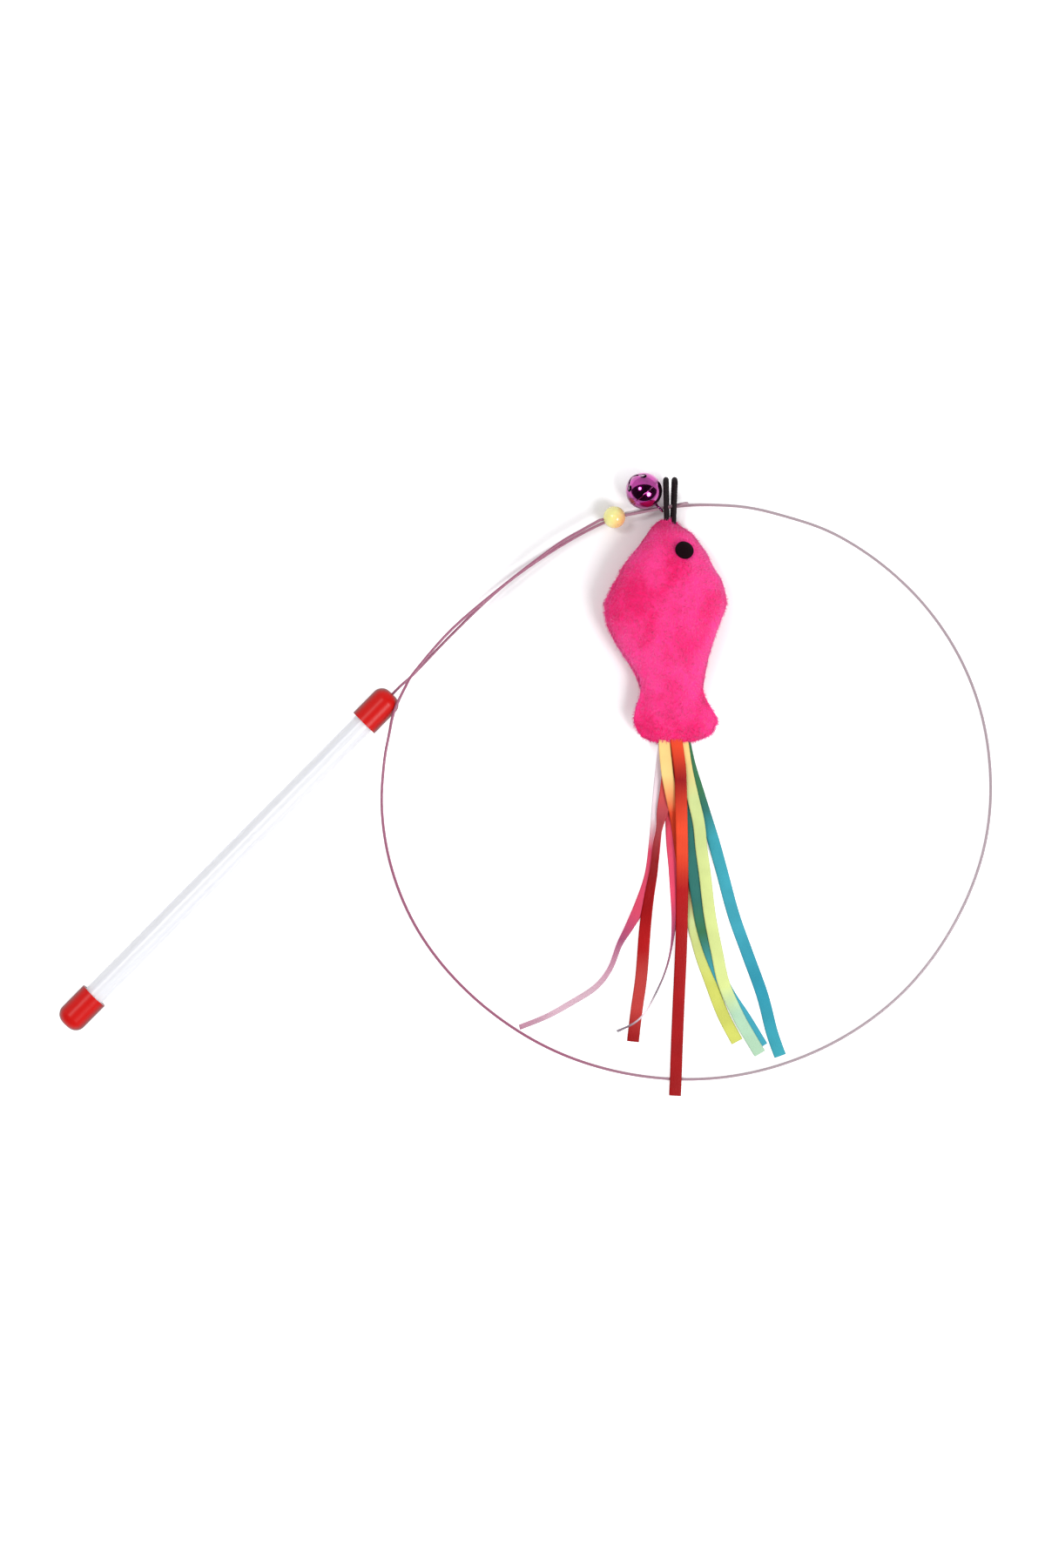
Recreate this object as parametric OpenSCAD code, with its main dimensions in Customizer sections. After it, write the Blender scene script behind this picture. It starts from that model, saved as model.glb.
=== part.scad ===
// Cat teaser wand: a plastic tube handle with two push-on caps, one springy wire that
// is coiled into a big ring, and a stuffed fish on an elastic loop at the wire's end,
// with a bead, a jingle bell and a tail of satin ribbons.
// The wand lies on its side on a floor at Z = 0. +X is the fish's side, +Y its nose.

/* [Handle] */
// Length of the handle, from dome to dome
handle_length = 193.5; // [150:0.5:260]
// Direction in which the handle points on the floor
handle_angle = 45.3; // [35:0.1:55]
// Outer diameter of the tube
tube_d = 9.2; // [8.6:0.1:10]
// Wall of the tube
tube_wall = 1.1; // [0.8:0.1:1.6]
// Length of each end cap
cap_length = 17; // [13:0.5:24]
// Wall of an end cap
cap_wall = 1.6; // [1.2:0.1:2.4]
// Thickness of an end cap's domed end
cap_end = 3; // [2.4:0.1:5]
// Radius of the round edge on an end cap's dome
cap_round = 4.6; // [2:0.1:5.6]
// Length of the plug that holds the wire in the tube
plug_length = 14; // [8:0.5:24]

/* [Wire] */
// Diameter of the coated spring wire
wire_d = 1.2; // [0.9:0.05:1.4]
// Radius of the closed eye that ends the wire, at the middle of its wire
end_eye_r = 1.7; // [1.5:0.1:2]

/* [Bead and bell] */
// Diameter of the bead
bead_d = 9.2; // [8:0.2:10.6]
// Diameter of the jingle bell
bell_d = 15.4; // [14:0.2:16]
// Wall of the bell's stamped shells
bell_wall = 0.4; // [0.3:0.05:0.8]
// Width of the bell's crossed slots
slot_w = 1.1; // [0.6:0.1:1.6]
// Diameter of the holes at the slots' ends
slot_hole_d = 2.8; // [2:0.1:3.4]
// Diameter of the ball in the bell
ball_d = 4.8; // [3.6:0.2:6]
// Wire thickness of the bell's shank ring
shank_d = 0.9; // [0.7:0.1:1.1]

/* [Toy] */
// Diameter of the elastic cord
elastic_d = 1.9; // [1.4:0.1:2.1]
// Reach of the elastic loops beyond the wire
elastic_reach = 9.6; // [7:0.1:12]
// Length of the stuffed fish, nose to tail
fish_length = 92.6; // [80:0.1:110]
// Width of the stuffed fish
fish_width = 53.5; // [46:0.5:60]
// Thickness of the stuffed fish
fish_thickness = 22; // [19:0.5:26]
// Diameter of each eye
eye_d = 7.8; // [6:0.2:9]
// Width of the satin ribbons
ribbon_w = 5; // [4:0.2:5.4]
// Thickness of the satin ribbons
ribbon_t = 0.3; // [0.2:0.05:0.3]

/* [Hidden] */
$fn = 48;

// Overrun of every cut, and the clearance of a push fit
cut = 1;
push_fit = 0.02;
wire_clear = 0.06;
wire_hole_d = wire_d + 2 * wire_clear;

// Handle: its tip is a fixed point, and the rest follows along the handle's axis
tip_x = -0.2;
tip_y = 24;
cap_d = tube_d + 2 * cap_wall;
handle_tip = [tip_x, tip_y, cap_d / 2];
handle_dir = [cos(handle_angle), sin(handle_angle), 0];
mouth_chamfer = 0.3;
plug_rib_d = 0.5;
plug_rib_count = 3;

// Straight end of the wire, on which the bead, the bell and the toy are threaded
hook_x = 115.3;
hook_y = 102;
hook_angle = 11;
bead_ring_gap = 0.6;
hook_z = wire_d + bead_ring_gap + bead_d / 2;
hook = [hook_x, hook_y, hook_z];
hook_dir = [cos(hook_angle), sin(hook_angle), 0];
end_eye_start = 3.8;

// Bead: its place along the wire from the hook, and how far it slides
bead_s = -23.6;
bead_clear = 0.08;
bead_hole_round = 0.5;
bead_end_play = 0.4;
wire_end_left = bead_s - bead_d / 2 - bead_end_play;

// Bell: the shank ring turns on the wire and the ball lies inside, on the bell's floor
ring_s = -4.4;
ring_inner_r = 1.25;
ring_r = ring_inner_r + shank_d / 2;
shank_neck = 0.1;
neck_r = 0.7;
rivet_r = 1.4;
rivet_t = 0.4;
shell_seam = 0.04;
rim_r = 0.35;
bell_r = bell_d / 2;
ring_reach = bell_r + shank_neck + ring_inner_r + shank_d;
ring_centre = hook + ring_s * hook_dir;
bell_drop = hook_z - bell_r - rim_r;
bell_tilt = asin(bell_drop / ring_reach);
bell_heading = 132.4;
bell_roll = 48;
hole_polar = 46;
ball_gap = 0.08;
bell_pole = [cos(bell_heading) * cos(bell_tilt), sin(bell_heading) * cos(bell_tilt), -sin(bell_tilt)];
bell_centre = ring_centre + ring_reach * bell_pole;
ball_drop = bell_r - bell_wall - ball_d / 2 - ball_gap;

// Elastic loops: two hairpins round the wire, sewn into the fish's nose
elastic_slope = 15;
elastic_splay = 1.7;
elastic_slack = 0.15;
elastic_sewn = 3;
elastic_pitch = 3;
elastic_bend_r = wire_d / 2 + elastic_slack + elastic_d / 2;

// Fish: the nose, the tail end and the lofted sections between them
nose_aside = 1.4;
nose_below = 5.4;
nose = [hook_x - nose_aside, hook_y - nose_below, 0];
tail_shift = 3.6;
skin_power = 2.3;
skin_sides = 24;
skin_steps = 2;
eye_along_share = 0.1435;
eye_across_share = 0.42;
eye_dome = 1.3;
eye_sunk = 0.7;
tail_root = nose + [tail_shift, -fish_length, 0];

// Each row is one section across the fish: its place along the fish as a share of the
// length, its half widths to the left and right as shares of half the width, then the
// seam's height and the bulge above and below the seam as shares of the thickness.
fish_shares = [
    [0.000, 0.07, 0.07, 0.240, 0.070, 0.070],
    [0.008, 0.13, 0.13, 0.245, 0.130, 0.120],
    [0.030, 0.22, 0.21, 0.265, 0.250, 0.190],
    [0.070, 0.34, 0.41, 0.330, 0.370, 0.240],
    [0.140, 0.53, 0.57, 0.400, 0.480, 0.300],
    [0.210, 0.71, 0.69, 0.435, 0.525, 0.370],
    [0.280, 0.85, 0.82, 0.455, 0.540, 0.420],
    [0.360, 1.00, 0.88, 0.460, 0.540, 0.450],
    [0.410, 1.03, 0.85, 0.460, 0.540, 0.450],
    [0.480, 1.00, 0.75, 0.450, 0.520, 0.440],
    [0.550, 0.90, 0.66, 0.420, 0.490, 0.410],
    [0.630, 0.73, 0.57, 0.380, 0.440, 0.370],
    [0.700, 0.60, 0.51, 0.340, 0.380, 0.330],
    [0.765, 0.53, 0.47, 0.310, 0.330, 0.300],
    [0.805, 0.51, 0.49, 0.300, 0.310, 0.290],
    [0.850, 0.57, 0.58, 0.295, 0.290, 0.280],
    [0.900, 0.62, 0.67, 0.290, 0.270, 0.260],
    [0.945, 0.59, 0.62, 0.285, 0.240, 0.230],
    [0.975, 0.52, 0.52, 0.280, 0.200, 0.190],
    [0.994, 0.37, 0.33, 0.280, 0.140, 0.130],
    [1.000, 0.20, 0.20, 0.280, 0.080, 0.080]
];
waist_row = 13;

// Route of the spring wire, in millimetres: out of the cap, under the bead, the bell
// and the toy, once round the ring, over the tip cap's shoulder and back to the bead.
wire_route = [
    [3.3, 27.5, 6.2], [9.3, 33, 5.6], [25.8, 50.2, 4], [46.3, 69.5, 2.3], [68.3, 85, 1.2],
    [88.8, 96, 0.7], [104.8, 100.5, 0.65], [115.3, 102, 0.65], [128.8, 103, 0.65],
    [147.3, 102, 0.65], [164.3, 98, 0.65], [180.8, 92.4, 0.65], [195.8, 84, 0.65],
    [221.8, 61, 0.65], [240.3, 31, 0.65], [248.8, -3.5, 0.65], [246.8, -39, 0.65],
    [234.3, -71.5, 0.65], [213.8, -99.3, 0.65], [186.3, -120, 0.65], [155.3, -132.5, 0.65],
    [122.3, -136.7, 0.65], [89.3, -132.5, 0.65], [57.8, -120, 0.65], [30.3, -99.5, 0.65],
    [8.8, -72, 0.7], [-3, -39, 1.6], [-4.8, -21.4, 3.6], [-3.6, -3.7, 6], [-1.4, 8, 8.2],
    [-0.2, 14, 9.7], [1.5, 19, 10.6], [5.3, 27, 10], [9.3, 33.5, 8.7], [24.8, 51.2, 7.3],
    [46.6, 69.6, 6.6], [67.8, 85.7, 6.4], [79.4, 92.6, 6.4]
];

// Routes of the ribbons, in millimetres from the middle of the fish's tail end. The
// last number of a point is the ribbon's roll: 0 lies flat and 90 stands on its edge.
pink_long_route = [
    [-4.5, -0.7, 5, 0], [-6, -13.5, 2.9, 0], [-7.2, -27, 1.1, 0], [-8.3, -41, 0.3, 0],
    [-10.2, -55.5, 0.2, 0], [-14.5, -68, 0.3, 0], [-19, -77, 0.9, 15], [-23.1, -84.4, 1.5, 30],
    [-27.1, -94.6, 2.3, 55], [-33.2, -102.3, 2.4, 60], [-43.5, -108.9, 2.5, 60],
    [-53.7, -114.5, 2.9, 63], [-64.9, -118.9, 3.9, 64]
];
pink_curl_route = [
    [-2, -0.7, 5.4, 0], [-1.8, -17.5, 3, 0], [-1.5, -34.5, 1.5, 0], [-1.1, -43, 1.4, 0],
    [-0.2, -53.5, 1.4, 15], [0.1, -68, 2, 45], [-0.5, -77, 2.6, 70], [-1.5, -85.4, 2.75, 85],
    [-2.9, -92, 2.8, 90], [-5.2, -98.7, 2.8, 90], [-8.8, -106.3, 3.1, 90],
    [-12.3, -112.5, 3.4, 90], [-16.9, -117, 3.5, 88], [-24.1, -120.6, 2.9, 75]
];
teal_short_route = [
    [2, -0.7, 5.8, 0], [3, -13.5, 4, 0], [4.5, -24.5, 2.3, 0], [6, -39, 1, 0],
    [7.5, -53.5, 0.4, 0], [9.5, -66.5, 0.2, 0], [11.5, -77.5, 0.2, 0],
    [15.5, -90, 0.2, 0], [22, -104, 0.2, 0], [29.5, -115.5, 0.2, 0],
    [36.5, -127, 0.2, 0]
];
teal_long_route = [
    [4, -0.7, 6.2, 0], [6, -9.5, 5.2, 0], [9, -19, 3.8, 0], [12.5, -30, 2.2, 0],
    [16, -41, 1, 0], [19.5, -53.5, 0.3, 0], [24.5, -72, 0.2, 0], [30, -87.5, 0.2, 0],
    [36.5, -105.5, 0.2, 0], [40.5, -121, 0.2, 0], [44, -131, 0.2, 0]
];
red_short_route = [
    [-2.5, -0.7, 6.6, 0], [-3.2, -14, 4.9, 0], [-4.4, -25, 3.1, -10], [-6.4, -35, 3.5, -58],
    [-7.9, -43.5, 3.1, -52], [-9, -54, 2.4, -35], [-11, -65.5, 1.5, -15],
    [-12.5, -77.5, 0.8, 0], [-14, -97.5, 0.4, 0], [-16, -112, 0.2, 0], [-17.5, -125, 0.2, 0]
];
yellow_long_route = [
    [4, -0.7, 7, 0], [6, -12, 5.6, 0], [8, -22.5, 4.3, 0], [10, -33.5, 3, 0],
    [11, -44.5, 1.9, 0], [12.5, -55.5, 1.2, 0], [14.5, -72, 0.8, 0],
    [17.5, -87.5, 0.7, 0], [20.5, -101, 0.7, 0], [26.5, -114.5, 0.7, 0],
    [31, -122.5, 0.6, 0], [35.5, -130, 0.6, 0]
];
red_long_route = [
    [0.5, -0.7, 8.2, 0], [2, -12, 7.3, 0], [2.5, -28, 5.5, 0], [3, -53.5, 3, 0],
    [2.8, -75.5, 2.2, 0], [2.4, -90, 1.2, 0], [1.6, -108, 0.4, 0],
    [0.8, -126.5, 1.1, 0], [0.4, -138, 1.7, 0], [0.2, -143, 1.7, 0],
    [0, -147.5, 1.5, 0]
];
yellow_short_route = [
    [-4.5, -0.7, 7.4, 0], [-3.5, -12, 6.3, 0], [-2, -22, 5.4, 0], [0.5, -33.5, 4.1, 0],
    [2.5, -46.5, 2.5, 0], [4.5, -59, 1.7, 0], [6.5, -71, 1.4, 0], [10.5, -87.5, 1.2, 0],
    [14.5, -99, 1.2, 0], [20, -113.5, 1.2, 0], [26, -125, 1.1, 0]
];

// Colours
handle_white = [0.93, 0.93, 0.95];
cap_red = [0.82, 0.11, 0.09];
wire_mauve = [0.71, 0.54, 0.6];
bead_yellow = [0.95, 0.88, 0.45];
bell_magenta = [0.62, 0.1, 0.55];
steel_grey = [0.6, 0.6, 0.62];
elastic_black = [0.05, 0.05, 0.06];
fish_pink = [0.96, 0.19, 0.5];
eye_black = [0.08, 0.02, 0.04];
satin_pink = [0.88, 0.4, 0.6];
satin_red = [0.78, 0.12, 0.12];
satin_teal = [0.2, 0.65, 0.74];
satin_yellow = [0.87, 0.9, 0.45];

// Sides of the round wire, and the steps between two points of a wire's or a ribbon's route
cord_sides = 8;
cord_steps = 3;
strip_steps = 3;

// Vectors and smooth curves through given points
function unit(v) = v / norm(v);
function blend_point(a, b, c, d, t) =
    0.5 * (2 * b + (c - a) * t + (2 * a - 5 * b + 4 * c - d) * t * t
    + (3 * b - a - 3 * c + d) * t * t * t);
function smooth(points, steps) = let (last = len(points) - 1) concat(
    [for (i = [0 : last - 1], k = [0 : steps - 1]) blend_point(
        points[max(i - 1, 0)], points[i], points[i + 1], points[min(i + 2, last)], k / steps)],
    [points[last]]);
function place(v) = [v[0], v[1], v[2]];

// Directions across a path at one of its points: to the right, and upwards
function heading(path, i) = unit(path[min(i + 1, len(path) - 1)] - path[max(i - 1, 0)]);
function rightward(dir) = unit(cross(dir, [0, 0, 1]));
function upward(dir) = cross(rightward(dir), dir);

// Faces of a closed skin over rings of points, every one a triangle. The two halves of
// a ring are cut along mirrored diagonals, so that a thin twisted strip stays whole.
function skin_faces(rings, sides) = concat(
    [for (i = [0 : rings - 2], k = [0 : sides - 1], half = [0 : 1])
        let (a = i * sides + k, b = i * sides + (k + 1) % sides)
        2 * k < sides
            ? (half == 0 ? [a, b, b + sides] : [a, b + sides, a + sides])
            : (half == 0 ? [a, b, a + sides] : [b, b + sides, a + sides])],
    [for (k = [1 : sides - 2]) [0, k + 1, k]],
    [for (k = [1 : sides - 2]) [(rings - 1) * sides, (rings - 1) * sides + k, (rings - 1) * sides + k + 1]]);

// A round cord along a path
module cord_tube(path, diameter, sides) {
    rings = [for (i = [0 : len(path) - 1])
        let (dir = heading(path, i), right = rightward(dir), up = upward(dir))
        for (k = [0 : sides - 1])
            path[i] + diameter / 2 * (cos(360 * k / sides) * right + sin(360 * k / sides) * up)];
    polyhedron(rings, skin_faces(len(path), sides), convexity = 8);
}

// A flat ribbon along a path whose points carry the ribbon's roll
module flat_strip(route, width, thickness) {
    path = smooth(route, strip_steps);
    spine = [for (p = path) place(p)];
    corners = [[1, -1], [1, 1], [-1, 1], [-1, -1]];
    rings = [for (i = [0 : len(path) - 1])
        let (
            dir = heading(spine, i),
            roll = path[i][3],
            across = cos(roll) * rightward(dir) + sin(roll) * upward(dir),
            thick = cos(roll) * upward(dir) - sin(roll) * rightward(dir))
        for (c = corners) spine[i] + c[0] * width / 2 * across + c[1] * thickness / 2 * thick];
    polyhedron(rings, skin_faces(len(path), len(corners)), convexity = 8);
}

module ribbon(route) translate(tail_root) flat_strip(route, ribbon_w, ribbon_t);

// Handle, built along its own +Z with the tip's dome at zero
module along_handle() translate(handle_tip) rotate([0, 90, handle_angle]) children();

// Push-on vinyl cap: a blind sleeve with a rounded dome and a chamfered mouth
module end_cap() {
    bore_r = tube_d / 2 + push_fit;
    difference() {
        rotate_extrude() {
            translate([0, -cap_length]) square([cap_d / 2, cap_length - cap_round]);
            translate([0, -cap_round - cut]) square([cap_d / 2 - cap_round, cap_round + cut]);
            intersection() {
                translate([cap_d / 2 - cap_round, -cap_round]) circle(cap_round);
                translate([0, -cap_round]) square([cap_d, cap_round]);
            }
        }
        translate([0, 0, -cap_length - cut]) cylinder(r = bore_r, h = cap_length - cap_end + cut);
        translate([0, 0, -cap_length - mouth_chamfer])
            cylinder(r1 = bore_r + 2 * mouth_chamfer, r2 = bore_r, h = 2 * mouth_chamfer);
    }
}

module handle_tube() color(handle_white) along_handle()
    translate([0, 0, cap_end - handle_length]) difference() {
        cylinder(d = tube_d, h = handle_length - 2 * cap_end);
        translate([0, 0, -cut]) cylinder(r = tube_d / 2 - tube_wall, h = handle_length);
    }

module grip_cap() color(cap_red) along_handle()
    translate([0, 0, -handle_length]) mirror([0, 0, 1]) end_cap();

module tip_cap() color(cap_red) along_handle() difference() {
    end_cap();
    translate([0, 0, -cap_length]) cylinder(d = wire_hole_d, h = cap_length + cut);
}

// Plug that grips the wire inside the tube's mouth: a ribbed stem with a through bore
module wire_plug() color(handle_white) along_handle()
    translate([0, 0, -cap_end - push_fit - plug_length]) difference() {
        union() {
            cylinder(r = tube_d / 2 - tube_wall - plug_rib_d, h = plug_length);
            for (i = [0 : plug_rib_count - 1])
                translate([0, 0, (i + 0.5) * plug_length / plug_rib_count])
                    cylinder(r = tube_d / 2 - tube_wall - push_fit, h = 2 * plug_rib_d);
        }
        translate([0, 0, -cut]) cylinder(d = wire_hole_d, h = plug_length + 2 * cut);
    }

// The long stretch of the wire, from the plug to the straight end at the bead
module spring_wire() color(wire_mauve) {
    inner_end = handle_tip - (cap_end + plug_length) * handle_dir;
    far_end = hook + wire_end_left * hook_dir;
    path = concat(
        [inner_end, handle_tip - cap_end * handle_dir],
        smooth(concat([handle_tip], wire_route, [far_end - wire_d * hook_dir]), cord_steps),
        [far_end]);
    cord_tube(path, wire_d, cord_sides);
}

// Straight end of the wire and the closed eye that keeps the toy on it
module wire_end() color(wire_mauve) translate(hook) rotate([0, 0, hook_angle]) {
    translate([wire_end_left, 0, 0]) rotate([0, 90, 0])
        cylinder(d = wire_d, h = end_eye_start - wire_end_left);
    translate([end_eye_start + end_eye_r, 0, 0]) rotate([90, 0, 0]) rotate_extrude()
        translate([end_eye_r, 0]) circle(d = wire_d);
}

// Bead threaded on the wire, its hole rounded over at both mouths
module stop_bead() color(bead_yellow)
    translate(hook + bead_s * hook_dir) rotate([0, 90, hook_angle]) difference() {
        sphere(d = bead_d);
        cylinder(r = wire_d / 2 + bead_clear, h = bead_d, center = true);
        for (side = [-1, 1]) translate([0, 0, side * (bead_d / 2 - bead_hole_round)])
            mirror([0, 0, side < 0 ? 1 : 0])
                cylinder(r1 = wire_d / 2 + bead_clear, r2 = wire_d / 2 + bead_clear + bead_hole_round,
                    h = bead_hole_round);
    }

// Bell, built with its shank along +Z, its centre at zero and its slots below
module at_bell() translate(bell_centre)
    rotate([0, 0, bell_heading]) rotate([0, 90 + bell_tilt, 0]) rotate([180, 0, 0]) children();

module bell_shell() difference() {
    sphere(r = bell_r);
    sphere(r = bell_r - bell_wall);
}

module bell_shank() color(bell_magenta) at_bell() {
    translate([0, 0, ring_reach]) rotate([90, 0, 0]) rotate_extrude()
        translate([ring_r, 0]) circle(d = shank_d);
    translate([0, 0, bell_r - bell_wall - rivet_t])
        cylinder(r = neck_r, h = rivet_t + bell_wall + shank_neck + shank_d / 2);
    translate([0, 0, bell_r - bell_wall - push_fit - rivet_t]) intersection() {
        cylinder(r = rivet_r, h = rivet_t);
        translate([0, 0, rivet_t + bell_wall - bell_r]) sphere(r = bell_r - bell_wall);
    }
}

module bell_top_shell() color(bell_magenta) at_bell() difference() {
    union() {
        bell_shell();
        rotate_extrude() translate([bell_r - bell_wall / 2, rim_r / 2]) circle(rim_r);
    }
    translate([-bell_d, -bell_d, -2 * bell_d]) cube(2 * bell_d);
    sphere(r = bell_r - bell_wall);
    cylinder(r = neck_r + push_fit, h = bell_d);
}

module bell_slotted_shell() color(bell_magenta) at_bell() rotate([0, 0, bell_roll]) difference() {
    bell_shell();
    translate([-bell_d, -bell_d, -shell_seam]) cube(2 * bell_d);
    for (turn = [0, 90]) rotate([0, 0, turn]) {
        intersection() {
            translate([-bell_r, -slot_w / 2, -bell_d]) cube([bell_d, slot_w, bell_d]);
            translate([0, 0, -bell_d]) cylinder(r = bell_r * sin(hole_polar), h = bell_d);
        }
        for (side = [-1, 1]) rotate([0, 180 - side * hole_polar, 0])
            cylinder(d = slot_hole_d, h = bell_d);
    }
}

module bell_ball() color(steel_grey) translate(bell_centre - [0, 0, ball_drop]) sphere(d = ball_d);

// One elastic hairpin: two limbs sewn into the nose and the bend beyond the wire
module elastic_hairpin(side) color(elastic_black)
    translate(hook + [side * elastic_pitch / 2, 0, 0])
    rotate([elastic_slope, 0, 0]) rotate([0, 0, -side * elastic_splay]) {
        sewn_end = hook[1] - nose[1] + elastic_sewn;
        for (layer = [-1, 1]) translate([0, -sewn_end, layer * elastic_bend_r]) rotate([-90, 0, 0])
            cylinder(d = elastic_d, h = sewn_end + elastic_reach);
        translate([0, elastic_reach, 0]) rotate([0, 90, 0]) rotate_extrude(angle = 180)
            translate([elastic_bend_r, 0]) circle(d = elastic_d);
    }

module elastic_loop_left() elastic_hairpin(-1);
module elastic_loop_right() elastic_hairpin(1);

// Fish: one section at a row of shares, as a ring of points
function pillow(angle) = [
    sign(cos(angle)) * pow(abs(cos(angle)), 2 / skin_power),
    sign(sin(angle)) * pow(abs(sin(angle)), 2 / skin_power)];
function fish_ring(row) = [for (k = [0 : skin_sides - 1])
    let (
        p = pillow(360 * k / skin_sides),
        wide = (p[0] > 0 ? row[1] : row[2]) * fish_width / 2,
        high = (p[1] > 0 ? row[4] : row[5]) * fish_thickness)
    nose + [
        row[0] * tail_shift - wide * p[0],
        -row[0] * fish_length,
        row[3] * fish_thickness + high * p[1]]];

module fish_part(first, last) {
    rows = smooth([for (i = [first : last]) fish_shares[i]], skin_steps);
    points = [for (row = rows) each fish_ring(row)];
    polyhedron(points, skin_faces(len(rows), skin_sides), convexity = 6);
}

module fish_body() color(fish_pink) fish_part(0, waist_row);
module fish_tail() color(fish_pink) fish_part(waist_row, len(fish_shares) - 1);

// Eyes: shallow domes set square to the fish's skin, one on each face
function column(n) = [for (row = fish_shares) [row[0], row[n]]];
function skin_height(along, across, face) = let (
    wide = lookup(along, column(2)) * fish_width / 2,
    high = lookup(along, column(face > 0 ? 4 : 5)) * fish_thickness,
    seam = lookup(along, column(3)) * fish_thickness)
    seam + face * high * pow(1 - pow(abs(across) / wide, skin_power), 1 / skin_power);

module eye(face) {
    across = eye_across_share * lookup(eye_along_share, column(2)) * fish_width / 2;
    step = eye_d / 4;
    height = skin_height(eye_along_share, across, face);
    slope_x = (skin_height(eye_along_share, across + step, face)
        - skin_height(eye_along_share, across - step, face)) / (2 * step);
    step_share = step / fish_length;
    slope_y = (skin_height(eye_along_share - step_share, across, face)
        - skin_height(eye_along_share + step_share, across, face)) / (2 * step);
    tilt = atan(norm([slope_x, slope_y]));
    dome_r = (eye_d * eye_d / 4 + eye_dome * eye_dome) / (2 * eye_dome);
    translate(nose + [eye_along_share * tail_shift + across, -eye_along_share * fish_length, height])
    rotate([0, 0, atan2(-slope_y, -slope_x)]) rotate([0, tilt, 0])
    mirror([0, 0, face < 0 ? 1 : 0]) {
        intersection() {
            translate([0, 0, eye_dome - dome_r]) sphere(r = dome_r);
            cylinder(d = eye_d, h = eye_dome);
        }
        translate([0, 0, -eye_sunk]) cylinder(d = eye_d, h = eye_sunk);
    }
}

module eye_front() color(eye_black) eye(1);
module eye_back() color(eye_black) eye(-1);

module ribbon_pink_long() color(satin_pink) ribbon(pink_long_route);
module ribbon_pink_curl() color(satin_pink) ribbon(pink_curl_route);
module ribbon_teal_short() color(satin_teal) ribbon(teal_short_route);
module ribbon_teal_long() color(satin_teal) ribbon(teal_long_route);
module ribbon_red_short() color(satin_red) ribbon(red_short_route);
module ribbon_yellow_long() color(satin_yellow) ribbon(yellow_long_route);
module ribbon_red_long() color(satin_red) ribbon(red_long_route);
module ribbon_yellow_short() color(satin_yellow) ribbon(yellow_short_route);

handle_tube();
grip_cap();
tip_cap();
wire_plug();
spring_wire();
wire_end();
stop_bead();
bell_shank();
bell_top_shell();
bell_slotted_shell();
bell_ball();
elastic_loop_left();
elastic_loop_right();
fish_body();
fish_tail();
eye_front();
eye_back();
ribbon_pink_long();
ribbon_pink_curl();
ribbon_teal_short();
ribbon_teal_long();
ribbon_red_short();
ribbon_yellow_long();
ribbon_red_long();
ribbon_yellow_short();
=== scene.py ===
"""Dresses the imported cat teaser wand: coated wire, satin ribbons, plush fish, braided
elastic and the finishes of its hard parts, on a plain studio floor."""

import math

import bpy
import numpy as np
from mathutils import Matrix, Vector, noise


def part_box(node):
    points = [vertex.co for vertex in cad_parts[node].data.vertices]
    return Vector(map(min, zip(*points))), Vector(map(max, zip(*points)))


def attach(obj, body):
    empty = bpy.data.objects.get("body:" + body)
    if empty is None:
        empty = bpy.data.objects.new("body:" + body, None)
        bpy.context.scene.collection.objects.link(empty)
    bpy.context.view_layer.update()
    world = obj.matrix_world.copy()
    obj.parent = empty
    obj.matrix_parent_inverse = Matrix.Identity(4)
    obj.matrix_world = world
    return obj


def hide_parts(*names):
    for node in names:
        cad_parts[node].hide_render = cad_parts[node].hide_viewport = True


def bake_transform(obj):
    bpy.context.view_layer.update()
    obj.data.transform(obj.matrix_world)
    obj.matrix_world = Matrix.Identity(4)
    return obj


bl_info = {
    "name": "Cat Teaser Wand",
    "version": (1, 0, 0),
    "blender": (4, 5, 0),
    "location": "3D View > Sidebar > Teaser Wand",
    "description": "Builds the looks of a cat teaser wand round its packed CAD model",
    "category": "Object",
}

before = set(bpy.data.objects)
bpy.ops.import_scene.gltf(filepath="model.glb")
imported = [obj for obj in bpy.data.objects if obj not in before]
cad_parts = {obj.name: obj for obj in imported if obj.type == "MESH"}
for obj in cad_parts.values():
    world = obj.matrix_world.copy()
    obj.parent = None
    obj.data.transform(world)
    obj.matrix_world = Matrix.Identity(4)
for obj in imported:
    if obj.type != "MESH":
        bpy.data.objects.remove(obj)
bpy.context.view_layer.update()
MM = 0.001

# Threads of the satin are drawn this far apart, coarser than real ones, so that they show
THREAD_MM = 0.5

# Photograph: its size in pixels, its scale, and the pixel that is the row frame's origin
PHOTO_WIDTH, PHOTO_HEIGHT = 1200, 1800
PIXELS_PER_MM = 2.75
ORIGIN_PIXEL = (451.8, 863)

# Places that part.scad gives, in millimetres
HOOK = Vector((115.3, 102, 6.4))
HOOK_ANGLE = 11
HANDLE_TIP = Vector((-0.2, 24, 6.2))
HANDLE_ANGLE = 45.3
CAP_END = 3
PLUG_LENGTH = 14
WIRE_END_LEFT = -28.6
NOSE = Vector((113.9, 96.6, 0))
TAIL_SHIFT = 3.6
FISH_LENGTH, FISH_WIDTH, FISH_THICKNESS = 92.6, 53.5, 22
SKIN_POWER = 2.3
TAIL_ROOT = NOSE + Vector((TAIL_SHIFT, -FISH_LENGTH, 0))

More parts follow.
